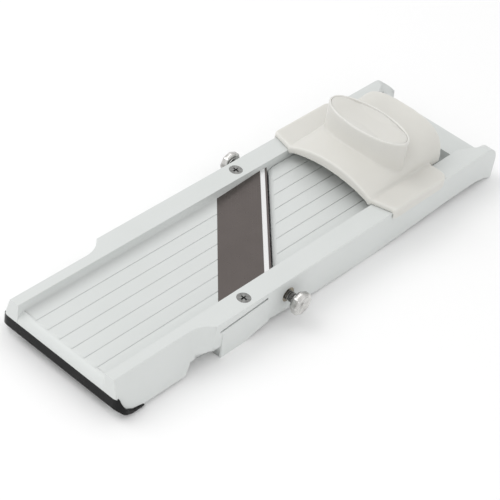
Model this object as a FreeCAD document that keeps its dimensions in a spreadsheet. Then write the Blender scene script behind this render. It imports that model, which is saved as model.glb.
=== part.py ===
import FreeCAD, Part
import math
import os
import Sketcher
from FreeCAD import Placement, Rotation, Vector

# Mandoline slicer. X runs along the slicer: the rubber foot is at -X, the handle bar at +X.
# Y is across, Z is up, and the slicer stands on Z = 0 with its origin under its middle.

os.makedirs("parts", exist_ok=True)
doc = FreeCAD.newDocument("MandolineSlicer")
sheet = doc.addObject("Spreadsheet::Sheet", "Sizes")


class Size:
    """A length that keeps its value together with its spreadsheet formula."""

    def __init__(self, value, formula):
        self.value = value
        self.formula = formula

    def joined(self, other, sign, result, swap=False):
        other_formula = other.formula if isinstance(other, Size) else repr(other)
        first, second = (other_formula, self.formula) if swap else (self.formula, other_formula)
        return Size(result, "(%s %s %s)" % (first, sign, second))

    def __add__(self, other):
        return self.joined(other, "+", self.value + plain(other))

    def __radd__(self, other):
        return self.joined(other, "+", plain(other) + self.value, True)

    def __sub__(self, other):
        return self.joined(other, "-", self.value - plain(other))

    def __rsub__(self, other):
        return self.joined(other, "-", plain(other) - self.value, True)

    def __mul__(self, other):
        return self.joined(other, "*", self.value * plain(other))

    def __rmul__(self, other):
        return self.joined(other, "*", plain(other) * self.value, True)

    def __truediv__(self, other):
        return self.joined(other, "/", self.value / plain(other))

    def __neg__(self):
        return Size(-self.value, "(0 - %s)" % self.formula)


def plain(length):
    return length.value if isinstance(length, Size) else float(length)


sheet_rows = []


def driving(alias, value):
    """Put one driving dimension in the sheet and return it as a Size."""
    cell = "A%d" % (len(sheet_rows) + 1)
    sheet.set(cell, "%g" % value)
    sheet.setAlias(cell, alias)
    sheet_rows.append(alias)
    return Size(float(value), "Sizes." + alias)


def bind(feature, name, length):
    if isinstance(length, Size):
        feature.setExpression(name, length.formula)
    else:
        setattr(feature, name, float(length))


# ---------------------------------------------------------------- driving dimensions, mm

length = driving("length", 322)
body_width = driving("body_width", 90)
bed_width = driving("bed_width", 64)
rail_top = driving("rail_top", 25.5)
bed_top = driving("bed_top", 19.5)
bed_plate = driving("bed_plate", 3)
wall = driving("wall", 3)
seat_gap = driving("seat_gap", 0.4)
groove_pitch = driving("groove_pitch", 8.94)
groove_width = driving("groove_width", 0.7)
groove_depth = driving("groove_depth", 0.35)
foot_length = driving("foot_length", 54.5)
foot_top_width = driving("foot_top_width", 76.6)
blade_run = driving("blade_run", 1.055)
blade_back = driving("blade_back", -43)
blade_edge = driving("blade_edge", -0.5)
blade_thickness = driving("blade_thickness", 1)
blade_tilt = driving("blade_tilt", 5.5)
blade_screw_inset = driving("blade_screw_inset", 17)
blade_screw_run = driving("blade_screw_run", 77.8)
blade_screw_spread = driving("blade_screw_spread", 77.2)
slot_width = driving("slot_width", 2.2)
thumb_height = driving("thumb_height", 14.2)
near_thumb_place = driving("near_thumb_place", -33.5)
far_thumb_place = driving("far_thumb_place", 27)
thumb_neck = driving("thumb_neck", 6)
hinge_place = driving("hinge_place", 106)
hinge_height = driving("hinge_height", 14.2)
adjuster_place = driving("adjuster_place", 47)
opening_start = driving("opening_start", 114.5)
bar_start = driving("bar_start", 137.5)
bar_end = driving("bar_end", 155.5)
bar_top = driving("bar_top", 17.5)
guard_front = driving("guard_front", 50.5)
guard_rear = driving("guard_rear", 117.5)
guard_wall = driving("guard_wall", 2.4)
hood_front_rise = driving("hood_front_rise", 7.5)
hood_rear_rise = driving("hood_rear_rise", 24.3)
knob_place = driving("knob_place", 80.8)
knob_length = driving("knob_length", 57.5)
knob_breadth = driving("knob_breadth", 26)
knob_top = driving("knob_top", 54)
knob_wall = driving("knob_wall", 1.4)
doc.recompute()

half_length = length / 2
half_body = body_width / 2
half_bed = bed_width / 2

# ---------------------------------------------------------------- sketch and feature helpers


def new_body(label):
    body = doc.addObject("PartDesign::Body", label)
    body.Label = label
    return body


def origin_plane(body, role):
    return [plane for plane in body.Origin.OriginFeatures if plane.Role == role][0]


def sketch_on(body, role, offset):
    """An empty sketch parallel to an origin plane of its own body."""
    sketch = body.newObject("Sketcher::SketchObject", "Sketch")
    sketch.AttachmentSupport = [(origin_plane(body, role), "")]
    sketch.MapMode = "FlatFace"
    if isinstance(offset, Size):
        sketch.setExpression(".AttachmentOffset.Base.z", offset.formula)
        sketch.AttachmentOffset = Placement(Vector(0, 0, offset.value), Rotation())
    else:
        sketch.AttachmentOffset = Placement(Vector(0, 0, offset), Rotation())
    return sketch


def place_vertex(sketch, line, end, across, up):
    """Tie one line end to the sketch origin with sizes from the sheet."""
    for kind, coordinate in (("DistanceX", across), ("DistanceY", up)):
        number = sketch.addConstraint(
            Sketcher.Constraint(kind, -1, 1, line, end, plain(coordinate)))
        if isinstance(coordinate, Size):
            sketch.setExpression("Constraints[%d]" % number, coordinate.formula)


def polygon(sketch, corners):
    """A closed outline through the corners, each tied to its own formula."""
    count = len(corners)
    first = sketch.GeometryCount
    for index in range(count):
        here = corners[index]
        after = corners[(index + 1) % count]
        sketch.addGeometry(Part.LineSegment(
            Vector(plain(here[0]), plain(here[1]), 0),
            Vector(plain(after[0]), plain(after[1]), 0)))
    for index in range(count):
        sketch.addConstraint(Sketcher.Constraint(
            "Coincident", first + index, 2, first + (index + 1) % count, 1))
    for index, corner in enumerate(corners):
        place_vertex(sketch, first + index, 1, corner[0], corner[1])


def rectangle(x_low, x_high, y_low, y_high):
    return [(x_low, y_low), (x_high, y_low), (x_high, y_high), (x_low, y_high)]


def circles(sketch, centres, radius):
    for across, up in centres:
        number = sketch.addGeometry(Part.Circle(
            Vector(plain(across), plain(up), 0), Vector(0, 0, 1), plain(radius)))
        place_vertex(sketch, number, 3, across, up)
        size = sketch.addConstraint(Sketcher.Constraint("Radius", number, plain(radius)))
        if isinstance(radius, Size):
            sketch.setExpression("Constraints[%d]" % size, radius.formula)


def extrude(body, sketch, distance, kind="PartDesign::Pad", both_ways=False):
    """Pad or pocket that always runs along the sketch's own normal."""
    feature = body.newObject(kind, kind.split("::")[1])
    feature.Profile = sketch
    bind(feature, "Length", distance)
    if both_ways:
        feature.Midplane = True
    feature.Reversed = kind == "PartDesign::Pocket" and not both_ways
    return feature


def block(body, corners, low, high, kind="PartDesign::Pad"):
    """Add or cut an upright prism between two heights."""
    sketch = sketch_on(body, "XY_Plane", low)
    polygon(sketch, corners)
    return extrude(body, sketch, high - low, kind)


def side_cut(body, corners, width):
    """Cut a side-view outline through the whole width."""
    sketch = sketch_on(body, "XZ_Plane", 0)
    polygon(sketch, corners)
    return extrude(body, sketch, width, "PartDesign::Pocket", both_ways=True)


def end_extrude(body, corners, start, distance, kind="PartDesign::Pad"):
    """Add or cut an end-view outline along +X."""
    sketch = sketch_on(body, "YZ_Plane", start)
    polygon(sketch, corners)
    return extrude(body, sketch, distance, kind)


def round_edges(body, radius, chosen):
    """Fillet the edges of the body's tip that the test accepts."""
    doc.recompute()
    tip = body.Tip
    names = ["Edge%d" % (number + 1) for number, edge in enumerate(tip.Shape.Edges)
             if chosen(edge)]
    fillet = body.newObject("PartDesign::Fillet", "Fillet")
    fillet.Base = (tip, names)
    fillet.Refine = False
    bind(fillet, "Radius", radius)
    doc.recompute()
    return fillet


def bevel_edges(body, back, down, chosen):
    """Chamfer chosen edges of the body's tip: back along the top, down the side."""
    doc.recompute()
    tip = body.Tip
    names = ["Edge%d" % (number + 1) for number, edge in enumerate(tip.Shape.Edges)
             if chosen(edge)]
    bevel = body.newObject("PartDesign::Chamfer", "Chamfer")
    bevel.Base = (tip, names)
    bevel.ChamferType = "Two distances"
    wanted = back / math.hypot(back, down)
    for first, second in ((back, down), (down, back)):
        bevel.Size = first
        bevel.Size2 = second
        doc.recompute()
        if abs(steepest_slope(bevel.Shape) - wanted) < 0.01:
            break


def steepest_slope(shape):
    """Upward part of the normal of the one face that is neither flat nor upright."""
    slopes = [face.normalAt(0, 0).z for face in shape.Faces if 0.02 < face.normalAt(0, 0).z < 0.999]
    return max(slopes) if slopes else 0.0


def is_upright(edge):
    box = edge.BoundBox
    return box.ZLength > 1 and box.XLength < 0.01 and box.YLength < 0.01


def turned(label, profile, centre, axis):
    """A revolved body: (radius, height) corners spun about its own Z, then turned to an axis."""
    body = new_body(label)
    sketch = sketch_on(body, "XZ_Plane", 0)
    polygon(sketch, profile)
    spin = body.newObject("PartDesign::Revolution", "Revolution")
    spin.Profile = sketch
    spin.ReferenceAxis = (sketch, ["V_Axis"])
    spin.Angle = 360
    body.Placement = Placement(centre, Rotation(Vector(0, 0, 1), axis))
    return body


def at_centre(feature, x, y, z, turn):
    """Place a feature, with formulas from the sheet where its place depends on them."""
    feature.Placement = Placement(point(x, y, z), turn)
    for name, coordinate in (("x", x), ("y", y), ("z", z)):
        if isinstance(coordinate, Size):
            feature.setExpression(".Placement.Base." + name, coordinate.formula)


def point(x, y, z):
    return Vector(plain(x), plain(y), plain(z))


# ---------------------------------------------------------------- places worked out from the sizes

blade_slope_turn = Rotation(Vector(blade_run.value, 1, 0), -blade_tilt.value)
screw_middle = blade_back + blade_screw_inset
near_blade_screw = (screw_middle - blade_screw_run / 2, -blade_screw_spread / 2)
far_blade_screw = (screw_middle + blade_screw_run / 2, blade_screw_spread / 2)
nose_start = blade_edge + slot_width
ramp_thickness = 2.5
ramp_under = bed_top - ramp_thickness
bridge_top = 12.2
bridge_under = 9.0


def diagonal(start, across):
    """X of a line parallel to the blade, at a given Y."""
    return start + blade_run * across


def diagonal_strip(start, finish, half_width):
    """A parallelogram between two lines parallel to the blade."""
    return [(diagonal(start, -half_width), -half_width), (diagonal(finish, -half_width), -half_width),
            (diagonal(finish, half_width), half_width), (diagonal(start, half_width), half_width)]


# ---------------------------------------------------------------- frame


def cut_underside(body):
    """The lower edge of the side walls: foot, step, fin, shallow belly and handle corner."""
    low = -5
    outline = [(-half_length - 1, 7.5), (-half_length + 0.5, 7.3), (-half_length + 4, 3.8),
               (-half_length + 9, 2), (-half_length + 48.9, 2), (-half_length + 53.2, 8),
               (-half_length + 74.4, 8), (-half_length + 74.5, 0), (-half_length + 94.5, 0),
               (-half_length + 97.3, 0.9), (-half_length + 101, 2.2), (-half_length + 106, 3.2),
               (-half_length + 111.4, 4.2), (-half_length + 120, 3.6), (-half_length + 128.4, 2.9),
               (-half_length + 156.5, 1), (-half_length + 202.5, 0.3), (half_length - 72.5, 2.8),
               (half_length - 46.5, 4.2), (half_length - 17.5, 4.6), (half_length - 7, 2.5),
               (half_length - 1, 0), (half_length + 1, 0), (half_length + 1, low), (-half_length - 1, low)]
    side_cut(body, outline, body_width + 20)


def flare_foot(body, side):
    """Lean the outer wall of the foot zone inwards towards its top, with a rounded run-out."""
    inset = half_body - foot_top_width / 2
    straight_end = -half_length + foot_length
    arc_radius = 18.0

    def wedge(depth):
        top = half_body - depth
        foot = half_body + 0.15
        return [(side * top, rail_top), (side * (half_body + 9), rail_top),
                (side * (half_body + 9), 0), (side * foot, 0)]

    end_extrude(body, wedge(inset), -half_length - 1, foot_length + 1, "PartDesign::Pocket")
    run_out = math.sqrt(arc_radius ** 2 - (arc_radius - plain(inset)) ** 2)
    sections = []
    for share in (0, 0.35, 0.7, 1.0):
        along = run_out * share
        depth = inset - (arc_radius - math.sqrt(arc_radius ** 2 - along ** 2))
        section = sketch_on(body, "YZ_Plane", straight_end + along)
        polygon(section, wedge(depth))
        sections.append(section)
    loft = body.newObject("PartDesign::SubtractiveLoft", "SubtractiveLoft")
    loft.Profile = sections[0]
    loft.Sections = sections[1:]


def handle_saddle(body):
    """Open the handle end between the rails, wider and lower towards the end."""
    wide = half_bed + 9
    first = sketch_on(body, "YZ_Plane", bar_start - 2)
    polygon(first, [(-half_bed, bar_top), (half_bed, bar_top), (half_bed, rail_top + 1),
                    (-half_bed, rail_top + 1)])
    second = sketch_on(body, "YZ_Plane", bar_start + 14.5)
    polygon(second, [(-half_bed - 1, bar_top), (half_bed + 1, bar_top), (wide + 1, rail_top + 1),
                     (-wide - 1, rail_top + 1)])
    loft = body.newObject("PartDesign::SubtractiveLoft", "SubtractiveLoft")
    loft.Profile = first
    loft.Sections = [second]
    doc.recompute()
    end_extrude(body, [(-half_bed - 1, bar_top), (half_bed + 1, bar_top), (wide + 1, rail_top + 1),
                       (-wide - 1, rail_top + 1)], bar_start + 14.5, 20, "PartDesign::Pocket")
    block(body, [(bar_end, -half_bed), (half_length + 2, -half_bed - 6), (half_length + 2, half_bed + 6),
                 (bar_end, half_bed)], -1, rail_top + 2, "PartDesign::Pocket")


def rail_hollows(body, side, spans, high, top):
    """Hollow the rail from below, leaving it solid where screws and the blade need metal inserts."""
    low = half_bed + wall
    y_low, y_high = (low, high) if side > 0 else (-high, -low)
    for start, finish in spans:
        block(body, rectangle(start, finish, y_low, y_high), -1, top, "PartDesign::Pocket")


def make_frame():
    body = new_body("frame_moulding")
    block(body, rectangle(-half_length, half_length, -half_body, half_body), 0, rail_top)
    round_edges(body, 6.0, lambda edge: is_upright(edge) and edge.BoundBox.XMax < 0)
    round_edges(body, 12.0, lambda edge: edge.BoundBox.XMin > half_length.value - 0.01
                and edge.BoundBox.ZMin > rail_top.value - 0.01)
    fin_start, fin_end, fin_out = -half_length + 74.5, -half_length + 112, 1.0
    for side in (-1, 1):
        fin = [(side * (half_body - 1), 0), (side * (half_body + fin_out), 0), (side * (half_body + fin_out), 4),
               (side * half_body, bed_top - 1), (side * (half_body - 1), bed_top - 1)]
        end_extrude(body, fin, fin_start, fin_end - fin_start)
    doc.recompute()
    for side in (-1, 1):
        flare_foot(body, side)
    block(body, rectangle(-half_length - 1, bar_start - 2, -half_bed, half_bed), bed_top, rail_top + 2,
          "PartDesign::Pocket")
    round_lip(body)
    handle_saddle(body)
    under_bed = bed_top - bed_plate
    block(body, rectangle(-half_length + 3, blade_back - 44, -half_bed, half_bed), -1, under_bed,
          "PartDesign::Pocket")
    beam_front = blade_back + 15
    inner = half_bed
    block(body, [(-half_length + 70, -inner), (diagonal(blade_back, -inner), -inner),
                 (diagonal(blade_back, inner), inner), (-half_length + 70, inner)], -1, under_bed,
          "PartDesign::Pocket")
    block(body, [(diagonal(beam_front, -inner), -inner), (opening_start - wall, -inner),
                 (opening_start - wall, inner), (diagonal(beam_front, inner), inner)], -1, rail_top,
          "PartDesign::Pocket")
    block(body, diagonal_strip(blade_back - 0.5, beam_front + 0.5, inner), -1, 9, "PartDesign::Pocket")
    block(body, rectangle(opening_start, bar_start, -inner, inner), -1, rail_top, "PartDesign::Pocket")
    block(body, rectangle(bar_start + wall, bar_end - wall, -inner + 2, inner - 2), -1, bar_top - wall,
          "PartDesign::Pocket")
    block(body, rectangle(opening_start - wall - 1, opening_start + 1, -inner, inner), -1, 6,
          "PartDesign::Pocket")
    for place in (-half_length + 30, -half_length + 60):
        block(body, rectangle(place, place + 2, -inner - 1, inner + 1), 10, under_bed + 0.5)
    for across in (-12, 12):
        block(body, rectangle(-half_length + 2, -half_length + 76, across - 1, across + 1), 11,
              under_bed + 0.5)
    block(body, rectangle(adjuster_place - 7, adjuster_place + 7, -inner - 1, inner + 1), bridge_under,
          bridge_top)
    for side in (-1, 1):
        low, high = side * (inner - 4.5), side * (inner + 1)
        block(body, rectangle(hinge_place - 4, hinge_place + 4, min(low, high, key=plain),
                              max(low, high, key=plain)), hinge_height - 3.4, ramp_under - 0.35)
    near_solid = (diagonal(blade_back, -half_body) - 2, near_thumb_place + 8)
    far_solid = (diagonal(blade_back, half_bed) - 2, diagonal(blade_edge, half_body) + 4)
    for side, solid in ((-1, near_solid), (1, far_solid)):
        behind_foot = -half_length + foot_length + 15
        hollows = [(solid[1], hinge_place - 34), (hinge_place - 32, hinge_place - 6),
                   (hinge_place + 4, half_length - 12)]
        if plain(solid[0]) > plain(behind_foot) + 5:
            hollows.append((behind_foot, solid[0]))
        rail_hollows(body, side, hollows, half_body - wall, rail_top - wall)
        rail_hollows(body, side, [(-half_length + 6, -half_length + 48)], half_bed + 7.2, rail_top - 13.5)
    cut_underside(body)
    groove_rows(body, -half_length - 1, True)
    return body


def groove_rows(body, start, lower):
    """Fine lengthwise grooves that stop wet food sticking to the bed."""
    half_groove = groove_width / 2
    sketch = sketch_on(body, "XY_Plane", bed_top)
    for number in range(6):
        middle = groove_pitch * (number - 2.5)
        low, high = middle - half_groove, middle + half_groove
        if lower:
            polygon(sketch, [(start, low), (diagonal(blade_back, low), low),
                             (diagonal(blade_back, high), high), (start, high)])
        else:
            polygon(sketch, [(diagonal(start, low), low), (hinge_place + 20, low),
                             (hinge_place + 20, high), (diagonal(start, high), high)])
    pocket = body.newObject("PartDesign::Pocket", "Pocket")
    pocket.Profile = sketch
    bind(pocket, "Length", groove_depth)


def round_lip(body):
    """Roll the foot end of the bed over towards the rubber strip."""
    radius = 5.5
    steps = 7
    outline = [(-half_length - 1, bed_top - radius), (-half_length, bed_top - radius)]
    for step in range(1, steps + 1):
        turn = math.pi / 2 * step / steps
        outline.append((-half_length + radius * (1 - math.cos(turn)),
                        bed_top - radius * (1 - math.sin(turn))))
    outline += [(-half_length + radius, bed_top + 1), (-half_length - 1, bed_top + 1)]
    sketch = sketch_on(body, "XZ_Plane", 0)
    polygon(sketch, outline)
    extrude(body, sketch, bed_width, "PartDesign::Pocket", both_ways=True)


def make_foot_strip():
    """Rubber band across the foot end that runs back under the corners and thins out."""
    body = new_body("foot_strip")
    reach, top = 18, 14
    block(body, rectangle(-half_length, -half_length + reach, -half_body - 0.3, half_body + 0.3), 0, top)
    round_edges(body, 6.3, lambda edge: is_upright(edge) and edge.BoundBox.XMin < -half_length.value + 0.1)
    block(body, rectangle(-half_length + 2.4, -half_length + reach + 1, -half_body + 2.4, half_body - 2.4),
          -1, top + 1, "PartDesign::Pocket")
    side_cut(body, [(-half_length + 1.6, top + 1), (-half_length + 1.8, 12.6), (-half_length + 3.4, 8.6),
                    (-half_length + 6, 5.6), (-half_length + 10, 3.6), (-half_length + reach + 1, 2.1),
                    (-half_length + reach + 1, top + 1)], body_width + 10)
    side_cut(body, [(-half_length - 1, -1), (-half_length - 1, 6.5), (-half_length, 6.3),
                    (-half_length + 4, 2.8), (-half_length + 9, 1), (-half_length + reach + 1, 1),
                    (-half_length + reach + 1, -1)], body_width + 10)
    round_edges(body, 0.8, lambda edge: edge.BoundBox.ZMin > top - 0.1 and edge.BoundBox.XMax
                < -half_length.value + 0.1)
    return body


# ---------------------------------------------------------------- blade and its fastenings


def blade_blank(label, near_end, far_end, back, edge, thickness, lift):
    """A flat strip laid along the diagonal and tilted up towards its cutting side."""
    body = new_body(label)
    block(body, [(diagonal(back, near_end), near_end), (diagonal(edge, near_end), near_end),
                 (diagonal(edge, far_end), far_end), (diagonal(back, far_end), far_end)],
          lift - thickness, lift)
    hinge_line = point(blade_back, 0, bed_top)
    body.Placement = Placement(hinge_line, blade_slope_turn, Vector(0, 0, 0)).multiply(
        Placement(-point(blade_back, 0, 0), Rotation()))
    return body


def make_blade():
    near_end, far_end = -half_body + 3, half_bed + 9
    body = blade_blank("slicing_blade", near_end, far_end, blade_back, blade_edge, blade_thickness, 0)
    bevel_edges(body, 4.4, 0.85, lambda edge: edge.Length > 80 and abs(edge.BoundBox.ZMin) < 0.01
                and edge.BoundBox.XMin > diagonal(blade_edge, near_end).value - 1)
    holes = sketch_on(body, "XY_Plane", -blade_thickness - 1)
    circles(holes, [near_blade_screw, far_blade_screw], 2.3)
    extrude(body, holes, 4, "PartDesign::Pocket")
    return body


def group(label, members):
    """Identical pieces kept as one named node of separate solids."""
    compound = doc.addObject("Part::Compound", label)
    compound.Label = label
    compound.Links = members
    return compound


def cross_recess_screw(name, head_radius, shank_radius, shank_length, centre, axis):
    """Countersunk screw with a cross recess, its head's face at the centre point."""
    cone = head_radius - shank_radius
    body = turned(name, [(0, 0), (head_radius, 0), (head_radius, -0.3), (shank_radius, -0.3 - cone),
                         (shank_radius, -shank_length), (shank_radius - 0.5, -shank_length - 0.6),
                         (0, -shank_length - 0.6)], centre, axis)
    long_arm, thin_arm = head_radius * 0.52, head_radius * 0.12
    recess = sketch_on(body, "XY_Plane", -1.3)
    polygon(recess, [(-long_arm, -thin_arm), (-thin_arm, -thin_arm), (-thin_arm, -long_arm),
                     (thin_arm, -long_arm), (thin_arm, -thin_arm), (long_arm, -thin_arm),
                     (long_arm, thin_arm), (thin_arm, thin_arm), (thin_arm, long_arm),
                     (-thin_arm, long_arm), (-thin_arm, thin_arm), (-long_arm, thin_arm)])
    extrude(body, recess, 2, "PartDesign::Pocket")
    return body


def make_blade_screws():
    screws = [cross_recess_screw("blade_screw_" + side, 4.1, 2.0, 14, point(place[0], place[1], rail_top),
                                 Vector(0, 0, 1))
              for side, place in (("near", near_blade_screw), ("far", far_blade_screw))]
    return group("blade_screws", screws)


def insert_sleeve(name, outer, bore, low, high, centre, axis):
    """Threaded insert with a waist groove that the moulding grips."""
    middle = (low + high) / 2
    return turned(name, [(bore, low), (outer, low), (outer, middle - 0.8), (outer - 0.5, middle - 0.5),
                         (outer - 0.5, middle + 0.5), (outer, middle + 0.8), (outer, high), (bore, high)],
                  centre, axis)


def make_blade_inserts():
    sleeves = [insert_sleeve("blade_insert_" + side, 3.4, 2.0, -13, -7, point(place[0], place[1], rail_top),
                             Vector(0, 0, 1))
               for side, place in (("near", near_blade_screw), ("far", far_blade_screw))]
    return group("blade_screw_inserts", sleeves)


# ---------------------------------------------------------------- side thumb screws

thumb_radius = 7.1
thumb_thickness = 4.4


def thumb_axis(side):
    return Vector(0, side, 0)


def thumb_point(side):
    place = near_thumb_place if side < 0 else far_thumb_place
    return point(place, side * half_body, thumb_height)


def make_thumb_inserts():
    sleeves = [insert_sleeve("clamp_insert_" + name, 4.6, 3.05, -8.5, 0, thumb_point(side), thumb_axis(side))
               for name, side in (("near", -1), ("far", 1))]
    return group("clamp_screw_inserts", sleeves)


def make_thumb_screw(label, side):
    """Neck with thread grooves and a flat eight-sided head with a raised rim."""
    root, crest, pitch = 2.5, 3.0, 1.5
    profile = [(0, -6.0), (root, -6.0)]
    height = -5.6
    while height < thumb_neck.value - 1.6:
        profile += [(root, height), (crest, height + 0.35), (crest, height + 0.8), (root, height + 1.15)]
        height += pitch
    collar = thumb_neck + 0.9
    profile += [(root, thumb_neck - 0.8), (crest, thumb_neck - 0.4), (crest, collar),
                (thumb_radius - 0.7, collar), (thumb_radius, collar + 0.7),
                (thumb_radius, collar + thumb_thickness - 0.9),
                (thumb_radius - 0.9, collar + thumb_thickness), (thumb_radius - 1.9, collar + thumb_thickness),
                (thumb_radius - 2.3, collar + thumb_thickness - 0.4),
                (0, collar + thumb_thickness - 0.4)]
    body = turned(label, profile, thumb_point(side), thumb_axis(side))
    doc.recompute()
    flats = sketch_on(body, "XY_Plane", collar - 1)
    inner = thumb_radius * 0.955
    notch_depth = thumb_radius + 2
    half_angle = math.pi / 8
    for number in range(8):
        middle = number * math.pi / 4 + half_angle
        corners = [(inner, -half_angle * 0.7), (notch_depth, -half_angle * 0.7),
                   (notch_depth, half_angle * 0.7), (inner, half_angle * 0.7)]
        outline = []
        for radius, swing in corners:
            spread = radius * math.tan(swing)
            outline.append((radius * math.cos(middle) - spread * math.sin(middle),
                            radius * math.sin(middle) + spread * math.cos(middle)))
        polygon(flats, outline)
    extrude(body, flats, thumb_thickness + 2, "PartDesign::Pocket")
    return body


def make_thumb_washer(label, side):
    bore = 3.05
    low, high = thumb_neck.value, thumb_neck.value + 0.85
    return turned(label, [(bore, low), (5.6, low), (5.6, high), (bore, high)], thumb_point(side),
                  thumb_axis(side))


# ---------------------------------------------------------------- ramp, hinge and thickness adjuster


def make_ramp():
    """Upper bed: a grooved plate with a bevelled nose, ribs below and two hinge knuckles."""
    body = new_body("ramp_plate")
    half = half_bed - seat_gap
    rear = opening_start - wall - 0.4
    block(body, [(diagonal(nose_start, -half), -half), (rear, -half), (rear, half),
                 (diagonal(nose_start, half), half)], ramp_under, bed_top)
    bevel_edges(body, 2.8, 1.3, lambda edge: edge.BoundBox.XLength > 40 and edge.BoundBox.YLength > 40
                and edge.BoundBox.ZMin > bed_top.value - 0.01)
    groove_rows(body, nose_start - 4, False)
    for across in (-24, -8, 8, 24):
        block(body, rectangle(diagonal(nose_start, across) + 6, rear - 16, across - 0.8, across + 0.8),
              ramp_under - 2.2, ramp_under + 0.3)
    for side in (-1, 1):
        low, high = side * 17, side * 27
        block(body, rectangle(hinge_place - 3.2, hinge_place + 3.2, min(low, high), max(low, high)),
              hinge_height - 3.2, ramp_under + 0.3)
    bore = sketch_on(body, "XZ_Plane", 0)
    circles(bore, [(hinge_place, hinge_height)], 1.56)
    extrude(body, bore, bed_width, "PartDesign::Pocket", both_ways=True)
    return body


def make_hinge_pin():
    reach = half_bed + 1.5
    return turned("hinge_pin", [(0, -reach), (1.2, -reach), (1.5, -reach + 0.3), (1.5, reach - 0.3),
                                (1.2, reach), (0, reach)], point(hinge_place, 0, hinge_height),
                  Vector(0, 1, 0))


def make_adjuster():
    """Thickness screw in its bush, with the dial and its lock nut below and the pad on top."""
    foot = point(adjuster_place, 0, 0)
    up = Vector(0, 0, 1)
    pad_top = ramp_under - 0.3
    pad_low = pad_top - 1.5
    bush = turned("adjuster_bush", [(3.06, bridge_under), (5, bridge_under), (5, bridge_top),
                                    (3.06, bridge_top)], foot, up)
    screw = turned("adjuster_screw", [(0, 2.9), (2.6, 2.9), (3, 3.3), (3, pad_low - 0.35),
                                      (2.65, pad_low), (0, pad_low)], foot, up)
    pad = turned("thrust_pad", [(0, pad_low), (5.5, pad_low), (6, pad_low + 0.5), (6, pad_top),
                                (0, pad_top)], foot, up)
    dial_top, dial_low = 8.6, 5.0
    dial = turned("adjuster_dial", [(3, dial_low), (12, dial_low), (13, dial_low + 0.8),
                                    (13, dial_top - 0.8), (12, dial_top), (3, dial_top)], foot, up)
    doc.recompute()
    notches = sketch_on(dial, "XY_Plane", dial_low - 1)
    circles(notches, [(13.6, 0)], 1.4)
    cut = extrude(dial, notches, 6, "PartDesign::Pocket")
    doc.recompute()
    ring = dial.newObject("PartDesign::PolarPattern", "PolarPattern")
    ring.Originals = [cut]
    ring.Axis = (origin_axis(dial, "Z_Axis"), [""])
    ring.Angle = 360
    ring.Occurrences = 16
    dial.Tip = ring
    nut = new_body("dial_nut")
    hexagon = sketch_on(nut, "XY_Plane", dial_low - 2.0)
    polygon(hexagon, [(5.0 / math.cos(math.pi / 6) * math.cos(turn * math.pi / 3),
                       5.0 / math.cos(math.pi / 6) * math.sin(turn * math.pi / 3)) for turn in range(6)])
    extrude(nut, hexagon, 2.0)
    thread = sketch_on(nut, "XY_Plane", dial_low - 3)
    circles(thread, [(0, 0)], 3.0)
    extrude(nut, thread, 4, "PartDesign::Pocket")
    nut.Placement = Placement(foot, Rotation())
    return bush, screw, pad, dial, nut


def origin_axis(body, role):
    return [axis for axis in body.Origin.OriginFeatures if axis.Role == role][0]


# ---------------------------------------------------------------- hand guard


def hood_height(along, share):
    """Height of the hood's skin above the rail tops: a low arch in front, a tall round hood behind."""
    blend = along * along * (3 - 2 * along) * 0.35 + along * 0.65
    front = 3.5 + hood_front_rise.value * (1 - share ** 2)
    rear = -0.5 + (hood_rear_rise.value - 0.5) * (1 - share ** 3) ** (1 / 3)
    return (1 - blend) * front + blend * rear


def hood_section(x, half_width, drop, floor):
    """A closed upright outline of the hood at one place along the guard."""
    front, rear = guard_front.value, guard_rear.value
    along = min(1.0, max(0.0, (x - front) / (rear - front)))
    crown = []
    steps = 16
    for step in range(steps + 1):
        swing = math.sin(math.pi * (step / steps - 0.5))
        share = abs(swing) ** (2 / 3)
        height = rail_top.value + hood_height(along, share) - drop
        crown.append(Vector(x, math.copysign(half_width * share, swing), height))
    curve = Part.BSplineCurve()
    curve.interpolate(crown)
    low_left, low_right = Vector(x, -half_width, floor), Vector(x, half_width, floor)
    return Part.Wire([Part.makeLine(low_left, crown[0]), curve.toShape(),
                      Part.makeLine(crown[-1], low_right), Part.makeLine(low_right, low_left)])


def hood_solid(start, finish, half_width, drop, floor):
    places = [start + (finish - start) * step / 5 for step in range(6)]
    return Part.makeLoft([hood_section(x, half_width, drop, floor) for x in places], True, False)


def ellipse_prism(centre_x, half_x, half_y, low, high):
    ellipse = Part.Ellipse(Vector(centre_x, 0, low), half_y, half_x).toShape()
    ellipse.rotate(Vector(centre_x, 0, low), Vector(0, 0, 1), 90)
    return Part.Face(Part.Wire([ellipse])).extrude(Vector(0, 0, high - low))


def flange_slab(side):
    """The flat part that rides on a rail, with a lip hanging outside it and a slanting front edge."""
    top, under = rail_top.value + 3.5, rail_top.value + 0.25
    inner, outer = half_bed.value - 3, half_body.value + 1.8
    lip_inner, lip_low = half_body.value + 0.35, rail_top.value - 3.9
    front, start, finish = guard_front.value, guard_front.value + 5, guard_front.value + 56
    corners = [Vector(front, inner, lip_low), Vector(start, outer, lip_low), Vector(finish, outer, lip_low),
               Vector(finish, inner, lip_low)]
    slab = Part.Face(Part.makePolygon(corners + corners[:1])).extrude(Vector(0, 0, top - lip_low))
    for radius, along in ((6, finish), (2, start)):
        slab = slab.makeFillet(radius, [edge for edge in slab.Edges if is_upright(edge)
                                        and abs(edge.BoundBox.XMin - along) < 0.01
                                        and edge.BoundBox.YMin > outer - 0.01])
    slab = slab.makeFillet(1.2, [edge for edge in slab.Edges if edge.BoundBox.ZMin > top - 0.01
                                 and edge.BoundBox.YMax > inner + 0.1])
    under_cut = Part.makeBox(finish - front + 2, lip_inner - inner + 1, under - lip_low + 1,
                             Vector(front - 1, inner - 1, lip_low - 1))
    slab = slab.cut(under_cut)
    return slab if side > 0 else slab.mirror(Vector(0, 0, 0), Vector(0, 1, 0))


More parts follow.
